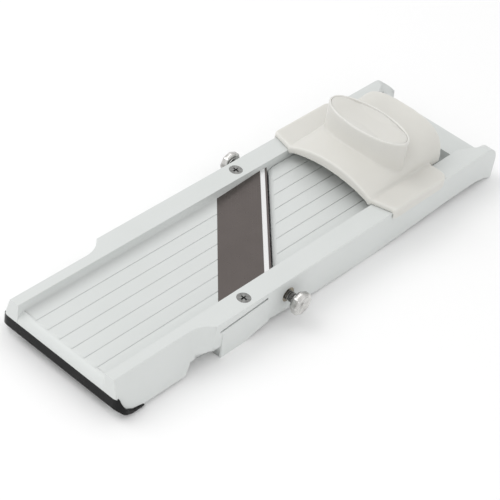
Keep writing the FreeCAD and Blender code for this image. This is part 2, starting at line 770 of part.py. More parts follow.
def make_guard_carriage():
    """One frosted moulding: flanges, hood, oval knob wall and two screw posts."""
    front, rear = guard_front.value, guard_rear.value
    half_width = half_bed.value - 0.6
    skin = guard_wall.value
    hood = hood_solid(front, rear, half_width, 0.0, rail_top.value - 1)
    hollow = hood_solid(front + skin, rear - skin, half_width - skin, skin, rail_top.value - 3)
    knob = ellipse_prism(knob_place.value, knob_breadth.value / 2, knob_length.value / 2,
                         rail_top.value + 6, knob_top.value)
    shell = hood.fuse([flange_slab(-1), flange_slab(1), knob]).cut(hollow)
    knob_hollow = ellipse_prism(knob_place.value, knob_breadth.value / 2 - knob_wall.value,
                                knob_length.value / 2 - knob_wall.value, knob_floor(), knob_top.value + 1)
    shell = shell.cut(knob_hollow)
    shell = shell.cut(arch_cut(front - 1, rear + 1, half_width - skin))
    posts = [Part.makeCylinder(3.4, knob_floor() - prong_plate_top + 1,
                               Vector(knob_place.value, across, prong_plate_top)) for across in post_places]
    shell = shell.fuse(posts)
    bores = [Part.makeCylinder(1.3, 6.0, Vector(knob_place.value, across, prong_plate_top - 0.5))
             for across in post_places]
    shell = shell.cut(Part.makeCompound(bores)).removeSplitter()
    carriage = doc.addObject("Part::Feature", "guard_carriage")
    carriage.Label = "guard_carriage"
    carriage.Shape = shell
    return carriage


prong_plate_top = 35.0
post_places = (-11.0, 11.0)


def knob_floor():
    """The knob is hollow down to here."""
    return rail_top.value + 17.0


def arch_cut(start, finish, half_width):
    """A shallow arch under the hood's front and back walls, so that food passes below."""
    foot, spring = rail_top.value - 4, rail_top.value
    left, right = Vector(start, -half_width, spring), Vector(start, half_width, spring)
    arc = Part.Arc(left, Vector(start, 0, spring + 4.8), right).toShape()
    low_left, low_right = Vector(start, -half_width, foot), Vector(start, half_width, foot)
    wire = Part.Wire([arc, Part.makeLine(right, low_right), Part.makeLine(low_right, low_left),
                      Part.makeLine(low_left, left)])
    return Part.Face(wire).extrude(Vector(finish - start, 0, 0))


def make_knob_cap():
    """Dished oval lid set a little below the knob's rim."""
    half_x, half_y = knob_breadth.value / 2 - knob_wall.value, knob_length.value / 2 - knob_wall.value
    lid = ellipse_prism(knob_place.value, half_x, half_y, knob_top.value - 4.2, knob_top.value - 0.3)
    dish_radius = 160.0
    dish = Part.makeCylinder(dish_radius, knob_length.value + 4,
                             Vector(knob_place.value - knob_length.value / 2 - 2, 0,
                                    knob_top.value - 1.9 + dish_radius), Vector(1, 0, 0))
    across_radius = 38.0
    trough = Part.makeCylinder(across_radius, knob_length.value + 4,
                               Vector(knob_place.value, -knob_length.value / 2 - 2,
                                      knob_top.value - 2.2 + across_radius), Vector(0, 1, 0))
    cap = doc.addObject("Part::Feature", "knob_cap")
    cap.Label = "knob_cap"
    cap.Shape = lid.cut(dish.common(trough))
    return cap


prong_places = [(column * 6.5, row * 9.0) for column in (-1, 0, 1) for row in (-1.5, -0.5, 0.5, 1.5)
                if not (column == 0 and abs(row) > 1)]


def make_prong_plate():
    body = new_body("prong_plate")
    centre = knob_place
    block(body, rectangle(centre - 9, centre + 11, -16, 16), prong_plate_top - 2, prong_plate_top)
    round_edges(body, 6.0, is_upright)
    holes = sketch_on(body, "XY_Plane", prong_plate_top - 4)
    circles(holes, [(centre, across) for across in post_places], 1.6)
    extrude(body, holes, 6, "PartDesign::Pocket")
    seats = sketch_on(body, "XY_Plane", prong_plate_top - 4)
    circles(seats, [(centre + along, across) for along, across in prong_places], 0.8)
    extrude(body, seats, 6, "PartDesign::Pocket")
    return body


def make_prongs():
    tip, top = rail_top.value - 2.2, prong_plate_top - 0.2
    pins = [turned("prong_%d" % number, [(0, tip), (0.25, tip + 0.2), (0.8, tip + 3), (0.8, top), (0, top)],
                   point(knob_place + along, across, 0), Vector(0, 0, 1))
            for number, (along, across) in enumerate(prong_places)]
    return group("food_prongs", pins)


def make_prong_screws():
    under = prong_plate_top - 2
    screws = [turned("plate_screw_%d" % number, [(0, under - 1.4), (2.2, under - 1.4), (2.7, under - 0.7),
                                                 (2.7, under), (1.3, under), (1.3, prong_plate_top + 4.6),
                                                 (0, prong_plate_top + 5.2)],
                     point(knob_place, across, 0), Vector(0, 0, 1))
              for number, across in enumerate(post_places)]
    return group("prong_plate_screws", screws)


# ---------------------------------------------------------------- assembly and files


def seated(label, base, tools):
    """Cut the seats of the pieces that a moulding holds."""
    cutter = doc.addObject("Part::MultiFuse", label + "_seats")
    cutter.Shapes = tools
    cut = doc.addObject("Part::Cut", label)
    cut.Label = label
    cut.Base = base
    cut.Tool = cutter
    return cut


def primitive_cylinder(name, radius, height, x, y, z, axis):
    cylinder = doc.addObject("Part::Cylinder", name)
    bind(cylinder, "Radius", radius)
    bind(cylinder, "Height", height)
    at_centre(cylinder, x, y, z, Rotation(Vector(0, 0, 1), axis))
    return cylinder


frame_moulding = make_frame()
foot_strip = make_foot_strip()
slicing_blade = make_blade()
blade_screws = make_blade_screws()
blade_inserts = make_blade_inserts()
thumb_inserts = make_thumb_inserts()
near_thumb = make_thumb_screw("near_thumb_screw", -1)
far_thumb = make_thumb_screw("far_thumb_screw", 1)
near_washer = make_thumb_washer("near_thumb_washer", -1)
far_washer = make_thumb_washer("far_thumb_washer", 1)
ramp_plate = make_ramp()
hinge_pin = make_hinge_pin()
bush, adjuster_screw, thrust_pad, dial, dial_nut = make_adjuster()
carriage = make_guard_carriage()
knob_cap = make_knob_cap()
prong_plate = make_prong_plate()
prongs = make_prongs()
prong_screws = make_prong_screws()

bar_scoop = primitive_cylinder("bar_scoop", 26.0, bed_width, (bar_start + bar_end) / 2, -half_bed,
                               bar_top + 24.7, Vector(0, 1, 0))
blade_slot = blade_blank("blade_slot", -half_body - 2, -half_body + 5, blade_back + 1.6, blade_edge - 3.5,
                         blade_thickness + 0.5, 0.3)
near_bore = primitive_cylinder("near_bore", 3.1, 15, near_thumb_place, -half_body - 3, thumb_height,
                               Vector(0, 1, 0))
far_bore = primitive_cylinder("far_bore", 3.1, 15, far_thumb_place, half_body + 3, thumb_height,
                              Vector(0, -1, 0))
bush_bore = primitive_cylinder("bush_bore", 3.06, bridge_top - bridge_under + 2, adjuster_place, 0,
                               bridge_under - 1, Vector(0, 0, 1))
blade_bores = []
for side, place in (("near", near_blade_screw), ("far", far_blade_screw)):
    blade_bores.append(primitive_cylinder(side + "_blade_bore", 2.0, 14, place[0], place[1],
                                          rail_top - 14.6, Vector(0, 0, 1)))
    blade_bores.append(primitive_cylinder(side + "_recess_bore", 2.3, 2.4, place[0], place[1],
                                          rail_top - 1.4, Vector(0, 0, 1)))
frame = seated("frame", frame_moulding, [foot_strip, slicing_blade, blade_slot, blade_screws, blade_inserts,
                                         thumb_inserts, bush, hinge_pin, bar_scoop, near_bore, far_bore,
                                         bush_bore] + blade_bores)
ramp_plate.Label = "ramp"

nodes = {"frame": frame, "foot_strip": foot_strip, "slicing_blade": slicing_blade,
         "blade_screws": blade_screws, "blade_screw_inserts": blade_inserts,
         "clamp_screw_inserts": thumb_inserts, "near_thumb_screw": near_thumb,
         "far_thumb_screw": far_thumb, "near_thumb_washer": near_washer, "far_thumb_washer": far_washer,
         "ramp": ramp_plate, "hinge_pin": hinge_pin, "adjuster_bush": bush,
         "adjuster_screw": adjuster_screw, "thrust_pad": thrust_pad, "adjuster_dial": dial,
         "dial_nut": dial_nut, "guard_carriage": carriage, "knob_cap": knob_cap,
         "prong_plate": prong_plate, "food_prongs": prongs, "prong_plate_screws": prong_screws}

doc.recompute()
failed = [thing for thing in doc.Objects if "Invalid" in thing.State or "Error" in thing.State]
for thing in failed:
    print("did not rebuild:", thing.Name, thing.Label, [user.Label for user in thing.InList])
if failed:
    raise RuntimeError("some features did not rebuild")
for name, node in nodes.items():
    shape = node.Shape
    if shape.isNull() or not shape.isValid():
        raise RuntimeError("%s has no valid shape" % name)
    box = shape.optimalBoundingBox()
    print("%-22s solids %2d  volume %9.1f  from %s to %s" % (
        name, len(shape.Solids), shape.Volume,
        [round(value, 2) for value in (box.XMin, box.YMin, box.ZMin)],
        [round(value, 2) for value in (box.XMax, box.YMax, box.ZMax)]))
    shape.exportStep("parts/%s.step" % name)
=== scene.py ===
import math
import bmesh
import bpy
from mathutils import Matrix, Vector


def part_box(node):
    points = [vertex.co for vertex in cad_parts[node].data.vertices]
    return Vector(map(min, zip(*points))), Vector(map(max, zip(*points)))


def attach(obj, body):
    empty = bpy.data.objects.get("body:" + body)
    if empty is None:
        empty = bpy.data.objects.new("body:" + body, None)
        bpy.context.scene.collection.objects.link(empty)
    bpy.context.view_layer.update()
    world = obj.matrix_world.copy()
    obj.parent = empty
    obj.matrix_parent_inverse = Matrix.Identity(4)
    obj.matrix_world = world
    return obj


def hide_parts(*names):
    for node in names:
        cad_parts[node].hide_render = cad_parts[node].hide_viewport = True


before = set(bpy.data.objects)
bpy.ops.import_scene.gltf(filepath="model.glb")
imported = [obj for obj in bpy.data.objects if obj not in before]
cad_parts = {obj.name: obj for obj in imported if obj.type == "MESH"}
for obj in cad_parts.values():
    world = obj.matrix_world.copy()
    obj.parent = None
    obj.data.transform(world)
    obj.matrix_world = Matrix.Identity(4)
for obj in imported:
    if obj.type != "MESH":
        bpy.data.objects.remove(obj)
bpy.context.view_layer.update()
scene = bpy.context.scene
mm = 0.001

# small helpers for meshes


def addObject(name, mesh):
    piece = bpy.data.objects.new(name, mesh)
    scene.collection.objects.link(piece)
    return piece


def bake(piece):
    # turns the modifiers into a plain mesh
    depsgraph = bpy.context.evaluated_depsgraph_get()
    depsgraph.update()
    mesh = bpy.data.meshes.new_from_object(piece.evaluated_get(depsgraph))
    mesh.name = piece.name
    piece.modifiers.clear()
    piece.data = mesh
    return piece


def smoothShaded(piece, angle):
    piece.data.shade_smooth()
    piece.data.set_sharp_from_angle(angle=math.radians(angle))


def evenlyShaded(piece, angle):
    # flat areas keep a true normal and only the narrow rounds shade
    smoothShaded(piece, angle)
    weights = piece.modifiers.new("evenShade", "WEIGHTED_NORMAL")
    weights.mode = "FACE_AREA"
    weights.weight = 100
    weights.keep_sharp = True
    bake(piece)


def mergedCopy(nodeName, pieceName):
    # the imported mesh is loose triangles, so its corners are joined and flat areas made whole
    form = bmesh.new()
    form.from_mesh(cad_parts[nodeName].data)
    bmesh.ops.remove_doubles(form, verts=form.verts, dist=2e-6)
    bmesh.ops.dissolve_limit(form, angle_limit=math.radians(0.6), verts=form.verts, edges=form.edges)
    bmesh.ops.recalc_face_normals(form, faces=form.faces)
    mesh = bpy.data.meshes.new(pieceName)
    form.to_mesh(mesh)
    form.free()
    return addObject(pieceName, mesh)


def rounded(piece, width):
    bevel = piece.modifiers.new("edges", "BEVEL")
    bevel.width = width * mm
    bevel.segments = 2
    bevel.limit_method = "ANGLE"
    bevel.angle_limit = math.radians(28)
    bevel.use_clamp_overlap = True
    bake(piece)
    evenlyShaded(piece, 35)
    return piece


def softened(piece, voxel, rounds):
    # an even skin over the whole moulding, then its edges relaxed
    remesh = piece.modifiers.new("skin", "REMESH")
    remesh.mode = "VOXEL"
    remesh.voxel_size = voxel * mm
    relax = piece.modifiers.new("relax", "SMOOTH")
    relax.factor = 0.5
    relax.iterations = rounds
    bake(piece)
    piece.data.shade_smooth()
    return piece


def lathe(name, profile, segments=48, radiusRule=None):
    # spins (radius, height) points round Z; a radius of nought closes the surface
    form = bmesh.new()
    rings = []
    for radius, height in profile:
        if radius == 0:
            rings.append([form.verts.new((0, 0, height * mm))])
            continue
        ring = []
        for step in range(segments):
            turn = 2 * math.pi * step / segments
            reach = radius * (radiusRule(turn, radius) if radiusRule else 1)
            place = (reach * math.cos(turn) * mm, reach * math.sin(turn) * mm, height * mm)
            ring.append(form.verts.new(place))
        rings.append(ring)
    for lower, upper in zip(rings, rings[1:]):
        for step in range(segments):
            after = (step + 1) % segments
            if len(lower) == 1:
                form.faces.new((lower[0], upper[after], upper[step]))
            elif len(upper) == 1:
                form.faces.new((lower[step], lower[after], upper[0]))
            else:
                form.faces.new((lower[step], lower[after], upper[after], upper[step]))
    bmesh.ops.recalc_face_normals(form, faces=form.faces)
    mesh = bpy.data.meshes.new(name)
    form.to_mesh(mesh)
    form.free()
    return addObject(name, mesh)


def crossCutter(reach, halfArm, depth, top):
    # a tapered cross that the driver recess is cut with
    outline = [(reach, -halfArm), (reach, halfArm), (halfArm, halfArm), (halfArm, reach), (-halfArm, reach),
               (-halfArm, halfArm), (-reach, halfArm), (-reach, -halfArm), (-halfArm, -halfArm),
               (-halfArm, -reach), (halfArm, -reach), (halfArm, -halfArm)]
    form = bmesh.new()
    rings = []
    for share, height in ((1.0, top), (0.55, top - depth)):
        rings.append([form.verts.new((x * share * mm, y * share * mm, height * mm)) for x, y in outline])
    count = len(outline)
    for step in range(count):
        after = (step + 1) % count
        form.faces.new((rings[0][step], rings[0][after], rings[1][after], rings[1][step]))
    form.faces.new(rings[0])
    form.faces.new(rings[1])
    bmesh.ops.recalc_face_normals(form, faces=form.faces)
    mesh = bpy.data.meshes.new("crossCutter")
    form.to_mesh(mesh)
    form.free()
    return addObject("crossCutter", mesh)


def cutAway(piece, cutter):
    boolean = piece.modifiers.new("cut", "BOOLEAN")
    boolean.operation = "DIFFERENCE"
    boolean.solver = "EXACT"
    boolean.object = cutter
    bake(piece)
    bpy.data.objects.remove(cutter)
    return piece


def turnTo(piece, axis, centre):
    turn = Vector((0, 0, 1)).rotation_difference(Vector(axis)).to_matrix().to_4x4()
    piece.data.transform(Matrix.Translation(Vector(centre)) @ turn)
    return piece


def settle(piece, body, replaced, material):
    piece.data.materials.clear()
    piece.data.materials.append(material)
    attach(piece, body)
    if replaced:
        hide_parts(*replaced)


# geometry node trees


def newTree(name, inputs):
    tree = bpy.data.node_groups.new(name, "GeometryNodeTree")
    tree.interface.new_socket("Geometry", in_out="INPUT", socket_type="NodeSocketGeometry")
    for label, kind in inputs:
        tree.interface.new_socket(label, in_out="INPUT", socket_type=kind)
    tree.interface.new_socket("Geometry", in_out="OUTPUT", socket_type="NodeSocketGeometry")
    start = tree.nodes.new("NodeGroupInput")
    end = tree.nodes.new("NodeGroupOutput")
    return tree, start, end


def finishTree(tree, start, end, geometry):
    realize = tree.nodes.new("GeometryNodeRealizeInstances")
    paint = tree.nodes.new("GeometryNodeSetMaterial")
    tree.links.new(geometry, realize.inputs["Geometry"])
    tree.links.new(realize.outputs["Geometry"], paint.inputs["Geometry"])
    tree.links.new(start.outputs["Material"], paint.inputs["Material"])
    tree.links.new(paint.outputs["Geometry"], end.inputs["Geometry"])


def growWith(piece, tree, values):
    modifier = piece.modifiers.new(tree.name, "NODES")
    modifier.node_group = tree
    for item in tree.interface.items_tree:
        if item.in_out == "INPUT" and item.name in values:
            modifier[item.identifier] = values[item.name]
    return bake(piece)


def makeRowTree():
    tree, start, end = newTree("rowOfCopies", [
        ("Count", "NodeSocketInt"), ("First", "NodeSocketVector"), ("Step", "NodeSocketVector"),
        ("Material", "NodeSocketMaterial")])
    line = tree.nodes.new("GeometryNodeMeshLine")
    copies = tree.nodes.new("GeometryNodeInstanceOnPoints")
    tree.links.new(start.outputs["Count"], line.inputs["Count"])
    tree.links.new(start.outputs["First"], line.inputs["Start Location"])
    tree.links.new(start.outputs["Step"], line.inputs["Offset"])
    tree.links.new(line.outputs["Mesh"], copies.inputs["Points"])
    tree.links.new(start.outputs["Geometry"], copies.inputs["Instance"])
    finishTree(tree, start, end, copies.outputs["Instances"])
    return tree


def makeFieldTree():
    # a grid of copies with the outer ones of the middle column left out
    tree, start, end = newTree("fieldOfCopies", [
        ("Columns", "NodeSocketInt"), ("Rows", "NodeSocketInt"), ("Column Pitch", "NodeSocketFloat"),
        ("Row Pitch", "NodeSocketFloat"), ("Centre", "NodeSocketVector"), ("Clear Width", "NodeSocketFloat"),
        ("Clear From", "NodeSocketFloat"), ("Material", "NodeSocketMaterial")])
    nodes, links = tree.nodes, tree.links
    grid = nodes.new("GeometryNodeMeshGrid")
    for label, pitch, axis in (("Columns", "Column Pitch", "X"), ("Rows", "Row Pitch", "Y")):
        gaps = nodes.new("ShaderNodeMath")
        gaps.operation = "SUBTRACT"
        gaps.inputs[1].default_value = 1
        span = nodes.new("ShaderNodeMath")
        span.operation = "MULTIPLY"
        links.new(start.outputs[label], gaps.inputs[0])
        links.new(gaps.outputs[0], span.inputs[0])
        links.new(start.outputs[pitch], span.inputs[1])
        links.new(span.outputs[0], grid.inputs["Size " + axis])
        links.new(start.outputs[label], grid.inputs["Vertices " + axis])
    position = nodes.new("GeometryNodeInputPosition")
    parts = nodes.new("ShaderNodeSeparateXYZ")
    links.new(position.outputs[0], parts.inputs[0])
    tests = []
    for axis, limit, operation in (("X", "Clear Width", "LESS_THAN"), ("Y", "Clear From", "GREATER_THAN")):
        size = nodes.new("ShaderNodeMath")
        size.operation = "ABSOLUTE"
        test = nodes.new("ShaderNodeMath")
        test.operation = operation
        links.new(parts.outputs[axis], size.inputs[0])
        links.new(size.outputs[0], test.inputs[0])
        links.new(start.outputs[limit], test.inputs[1])
        tests.append(test)
    both = nodes.new("ShaderNodeMath")
    both.operation = "MULTIPLY"
    links.new(tests[0].outputs[0], both.inputs[0])
    links.new(tests[1].outputs[0], both.inputs[1])
    remove = nodes.new("GeometryNodeDeleteGeometry")
    remove.domain = "POINT"
    shift = nodes.new("GeometryNodeTransform")
    copies = nodes.new("GeometryNodeInstanceOnPoints")
    links.new(grid.outputs["Mesh"], remove.inputs["Geometry"])
    links.new(both.outputs[0], remove.inputs["Selection"])
    links.new(remove.outputs["Geometry"], shift.inputs["Geometry"])
    links.new(start.outputs["Centre"], shift.inputs["Translation"])
    links.new(shift.outputs["Geometry"], copies.inputs["Points"])
    links.new(start.outputs["Geometry"], copies.inputs["Instance"])
    finishTree(tree, start, end, copies.outputs["Instances"])
    return tree


def makeThreadTree():
    # winds a ridge round the shank and joins it to the rest of the screw
    tree, start, end = newTree("windThread", [
        ("Radius", "NodeSocketFloat"), ("Turns", "NodeSocketFloat"), ("Length", "NodeSocketFloat"),
        ("Start Height", "NodeSocketFloat"), ("Ridge", "NodeSocketFloat"),
        ("Material", "NodeSocketMaterial")])
    nodes, links = tree.nodes, tree.links
    spiral = nodes.new("GeometryNodeCurveSpiral")
    spiral.inputs["Resolution"].default_value = 32
    links.new(start.outputs["Turns"], spiral.inputs["Rotations"])
    links.new(start.outputs["Radius"], spiral.inputs["Start Radius"])
    links.new(start.outputs["Radius"], spiral.inputs["End Radius"])
    links.new(start.outputs["Length"], spiral.inputs["Height"])
    lift = nodes.new("ShaderNodeCombineXYZ")
    links.new(start.outputs["Start Height"], lift.inputs["Z"])
    shift = nodes.new("GeometryNodeTransform")
    links.new(spiral.outputs["Curve"], shift.inputs["Geometry"])
    links.new(lift.outputs[0], shift.inputs["Translation"])
    ridge = nodes.new("GeometryNodeCurvePrimitiveCircle")
    ridge.inputs["Resolution"].default_value = 8
    links.new(start.outputs["Ridge"], ridge.inputs["Radius"])
    sweep = nodes.new("GeometryNodeCurveToMesh")
    sweep.inputs["Fill Caps"].default_value = True
    links.new(shift.outputs["Geometry"], sweep.inputs["Curve"])
    links.new(ridge.outputs["Curve"], sweep.inputs["Profile Curve"])
    join = nodes.new("GeometryNodeJoinGeometry")
    links.new(start.outputs["Geometry"], join.inputs["Geometry"])
    links.new(sweep.outputs["Mesh"], join.inputs["Geometry"])
    finishTree(tree, start, end, join.outputs["Geometry"])
    return tree


rowTree = makeRowTree()
fieldTree = makeFieldTree()
threadTree = makeThreadTree()
print("trees ready")

# materials


def shaderGroup(name, inputs, outputs):
    group = bpy.data.node_groups.new(name, "ShaderNodeTree")
    for label, kind, value in inputs:
        socket = group.interface.new_socket(label, in_out="INPUT", socket_type=kind)
        socket.default_value = value
    for label, kind in outputs:
        group.interface.new_socket(label, in_out="OUTPUT", socket_type=kind)
    return group, group.nodes.new("NodeGroupInput"), group.nodes.new("NodeGroupOutput")


def addMath(tree, operation, first, second):
    node = tree.nodes.new("ShaderNodeMath")
    node.operation = operation
    for socket, value in zip(node.inputs, (first, second)):
        if isinstance(value, (int, float)):
            socket.default_value = value
        else:
            tree.links.new(value, socket)
    return node.outputs[0]


def addRange(tree, value, fromLow, fromHigh, toLow, toHigh):
    node = tree.nodes.new("ShaderNodeMapRange")
    for label, setting in (("Value", value), ("From Min", fromLow), ("From Max", fromHigh),
                           ("To Min", toLow), ("To Max", toHigh)):
        if isinstance(setting, (int, float)):
            node.inputs[label].default_value = setting
        else:
            tree.links.new(setting, node.inputs[label])
    return node.outputs["Result"]


def addMix(tree, factor, first, second):
    node = tree.nodes.new("ShaderNodeMix")
    node.data_type = "RGBA"
    for index, value in ((0, factor), (6, first), (7, second)):
        if isinstance(value, (int, float, tuple)):
            node.inputs[index].default_value = value
        else:
            tree.links.new(value, node.inputs[index])
    return node.outputs[2]


def addNoise(tree, vector, scale, detail, roughness=0.5):
    node = tree.nodes.new("ShaderNodeTexNoise")
    node.inputs["Detail"].default_value = detail
    node.inputs["Roughness"].default_value = roughness
    if isinstance(scale, (int, float)):
        node.inputs["Scale"].default_value = scale
    else:
        tree.links.new(scale, node.inputs["Scale"])
    tree.links.new(vector, node.inputs["Vector"])
    return node.outputs["Fac"]


def makeMouldGroup():
    # colour drift, sheen changes and a very fine orange peel, as moulded plastic has
    group, start, end = shaderGroup("mouldedSkin", [
        ("Vector", "NodeSocketVector", (0, 0, 0)), ("Colour", "NodeSocketColor", (0.8, 0.8, 0.8, 1)),
        ("Shade", "NodeSocketColor", (0.7, 0.7, 0.7, 1)), ("Drift", "NodeSocketFloat", 0.3),
        ("Low Roughness", "NodeSocketFloat", 0.3), ("High Roughness", "NodeSocketFloat", 0.4),
        ("Peel Scale", "NodeSocketFloat", 900)],
        [("Colour", "NodeSocketColor"), ("Roughness", "NodeSocketFloat"), ("Height", "NodeSocketFloat")])
    vector = start.outputs["Vector"]
    cloud = addNoise(group, vector, 22, 3)
    fine = addNoise(group, vector, 160, 4)
    peel = addNoise(group, vector, start.outputs["Peel Scale"], 2)
    drift = addMath(group, "MULTIPLY", addRange(group, cloud, 0.35, 0.7, 0, 1), start.outputs["Drift"])
    colour = addMix(group, drift, start.outputs["Colour"], start.outputs["Shade"])
    rough = addRange(group, fine, 0.3, 0.7, start.outputs["Low Roughness"], start.outputs["High Roughness"])
    peelHeight = addMath(group, "MULTIPLY", peel, 0.7)
    fineHeight = addMath(group, "MULTIPLY", fine, 0.3)
    height = addMath(group, "ADD", peelHeight, fineHeight)
    group.links.new(colour, end.inputs["Colour"])
    group.links.new(rough, end.inputs["Roughness"])
    group.links.new(height, end.inputs["Height"])
    return group


def makeScratchGroup():
    # long thin marks along one direction, stronger in some places
    group, start, end = shaderGroup("fineScratches", [
        ("Vector", "NodeSocketVector", (0, 0, 0)), ("Stretch", "NodeSocketVector", (6, 900, 900)),
        ("Turn", "NodeSocketVector", (0, 0, 0)), ("Cover", "NodeSocketFloat", 0.62)],
        [("Mask", "NodeSocketFloat")])
    mapping = group.nodes.new("ShaderNodeMapping")
    group.links.new(start.outputs["Vector"], mapping.inputs["Vector"])
    group.links.new(start.outputs["Turn"], mapping.inputs["Rotation"])
    stretched = group.nodes.new("ShaderNodeVectorMath")
    stretched.operation = "MULTIPLY"
    group.links.new(mapping.outputs[0], stretched.inputs[0])
    group.links.new(start.outputs["Stretch"], stretched.inputs[1])
    lines = addNoise(group, stretched.outputs[0], 1, 3, 0.6)
    patches = addNoise(group, start.outputs["Vector"], 30, 2)
    thin = addRange(group, lines, start.outputs["Cover"], 0.8, 0, 1)
    mask = addMath(group, "MULTIPLY", thin, addRange(group, patches, 0.4, 0.65, 0, 1))
    group.links.new(mask, end.inputs["Mask"])
    return group


def makeEdgeGroup():
    # a mask of sharp edges, or of hollows when Low is above High, from the bend of the surface
    group, start, end = shaderGroup("edgeMask", [
        ("Low", "NodeSocketFloat", 0.52), ("High", "NodeSocketFloat", 0.6),
        ("Vector", "NodeSocketVector", (0, 0, 0))], [("Mask", "NodeSocketFloat")])
    geometry = group.nodes.new("ShaderNodeNewGeometry")
    edge = addRange(group, geometry.outputs["Pointiness"], start.outputs["Low"], start.outputs["High"], 0, 1)
    broken = addRange(group, addNoise(group, start.outputs["Vector"], 90, 3), 0.3, 0.6, 0.4, 1)
    group.links.new(addMath(group, "MULTIPLY", edge, broken), end.inputs["Mask"])
    return group


mouldGroup = makeMouldGroup()
scratchGroup = makeScratchGroup()
edgeGroup = makeEdgeGroup()


def newMaterial(name):
    material = bpy.data.materials.new(name)
    material.use_nodes = True
    tree = material.node_tree
    shader = tree.nodes["Principled BSDF"]
    coordinates = tree.nodes.new("ShaderNodeTexCoord")
    return material, tree, shader, coordinates.outputs["Object"]


def useGroup(tree, group, vector, values):
    node = tree.nodes.new("ShaderNodeGroup")
    node.node_tree = group
    tree.links.new(vector, node.inputs["Vector"])
    for label, value in values.items():
        node.inputs[label].default_value = value
    return node


def addBump(tree, shader, height, strength, distance):
    bump = tree.nodes.new("ShaderNodeBump")
    bump.inputs["Strength"].default_value = strength
    bump.inputs["Distance"].default_value = distance
    tree.links.new(height, bump.inputs["Height"])
    tree.links.new(bump.outputs["Normal"], shader.inputs["Normal"])


whiteFinish = {"colour": (0.68, 0.70, 0.69, 1), "shade": (0.64, 0.665, 0.65, 1), "drift": 0.5,
               "lowRough": 0.38, "highRough": 0.48, "subsurface": 0.06,
               "scratchColour": (0.77, 0.78, 0.77, 1), "scratchPaint": 0.08, "scratchDull": 0.1}


def makeWhitePlastic():
    material, tree, shader, place = newMaterial("whitePlastic")
    skin = useGroup(tree, mouldGroup, place, {
        "Colour": whiteFinish["colour"], "Shade": whiteFinish["shade"], "Drift": whiteFinish["drift"],
        "Low Roughness": whiteFinish["lowRough"], "High Roughness": whiteFinish["highRough"]})
    scratches = useGroup(tree, scratchGroup, place, {"Cover": 0.6})
    geometry = tree.nodes.new("ShaderNodeNewGeometry")
    facing = tree.nodes.new("ShaderNodeSeparateXYZ")
    tree.links.new(geometry.outputs["Normal"], facing.inputs[0])
    # only what faces up has been scratched by food and knives
    marks = addMath(tree, "MULTIPLY", scratches.outputs["Mask"],
                    addRange(tree, facing.outputs["Z"], 0.85, 0.97, 0, 1))
    pale = addMath(tree, "MULTIPLY", marks, whiteFinish["scratchPaint"])
    colour = addMix(tree, pale, skin.outputs["Colour"], whiteFinish["scratchColour"])
    dull = addMath(tree, "MULTIPLY", marks, whiteFinish["scratchDull"])
    rough = addMath(tree, "ADD", skin.outputs["Roughness"], dull)
    tree.links.new(colour, shader.inputs["Base Color"])
    tree.links.new(rough, shader.inputs["Roughness"])
    shader.inputs["Subsurface Weight"].default_value = whiteFinish["subsurface"]
    shader.inputs["Subsurface Radius"].default_value = (0.0015, 0.0015, 0.0014)
    shader.inputs["Subsurface Scale"].default_value = 1.0
    addBump(tree, shader, skin.outputs["Height"], 0.08, 0.0001)
    return material


# the edge colour is a painted highlight laid along the sharp rims of the guard and lid
frostedFinish = {"colour": (0.70, 0.69, 0.65, 1), "shade": (0.64, 0.63, 0.59, 1), "drift": 0.6,
                 "edge": (0.86, 0.86, 0.84, 1), "edgeShare": 0.3, "lowRough": 0.36, "highRough": 0.5,
                 "peel": 1400, "subsurface": 0.35}


def makeFrostedPlastic():
    material, tree, shader, place = newMaterial("frostedPlastic")
    skin = useGroup(tree, mouldGroup, place, {
        "Colour": frostedFinish["colour"], "Shade": frostedFinish["shade"],
        "Drift": frostedFinish["drift"], "Low Roughness": frostedFinish["lowRough"],
        "High Roughness": frostedFinish["highRough"], "Peel Scale": frostedFinish["peel"]})
    edges = useGroup(tree, edgeGroup, place, {"Low": 0.51, "High": 0.56})
    # painted highlight along the sharp rims
    thin = addMath(tree, "MULTIPLY", edges.outputs["Mask"], frostedFinish["edgeShare"])
    colour = addMix(tree, thin, skin.outputs["Colour"], frostedFinish["edge"])
    tree.links.new(colour, shader.inputs["Base Color"])
    tree.links.new(skin.outputs["Roughness"], shader.inputs["Roughness"])
    shader.inputs["Subsurface Weight"].default_value = frostedFinish["subsurface"]
    shader.inputs["Subsurface Radius"].default_value = (0.004, 0.004, 0.0038)
    shader.inputs["Subsurface Scale"].default_value = 1.0
    addBump(tree, shader, skin.outputs["Height"], 0.16, 0.0001)
    return material


rubberFinish = {"colour": (0.006, 0.006, 0.0065, 1), "shade": (0.014, 0.014, 0.014, 1), "drift": 0.8,
                "edge": (0.06, 0.06, 0.06, 1), "edgeShare": 0.35, "lowRough": 0.18, "highRough": 0.3,
                "peel": 2200, "shine": 0.12}


def makeRubber():
    material, tree, shader, place = newMaterial("blackRubber")
    skin = useGroup(tree, mouldGroup, place, {
        "Colour": rubberFinish["colour"], "Shade": rubberFinish["shade"], "Drift": rubberFinish["drift"],
        "Low Roughness": rubberFinish["lowRough"], "High Roughness": rubberFinish["highRough"],
        "Peel Scale": rubberFinish["peel"]})
    edges = useGroup(tree, edgeGroup, place, {"Low": 0.53, "High": 0.62})
    # lighter towards the edge colour on sharp edges
    lighterRubberEdges = addMath(tree, "MULTIPLY", edges.outputs["Mask"], rubberFinish["edgeShare"])
    colour = addMix(tree, lighterRubberEdges, skin.outputs["Colour"], rubberFinish["edge"])
    tree.links.new(colour, shader.inputs["Base Color"])
    tree.links.new(skin.outputs["Roughness"], shader.inputs["Roughness"])
    shader.inputs["Specular IOR Level"].default_value = rubberFinish["shine"]
    addBump(tree, shader, skin.outputs["Height"], 0.18, 0.0001)
    return material
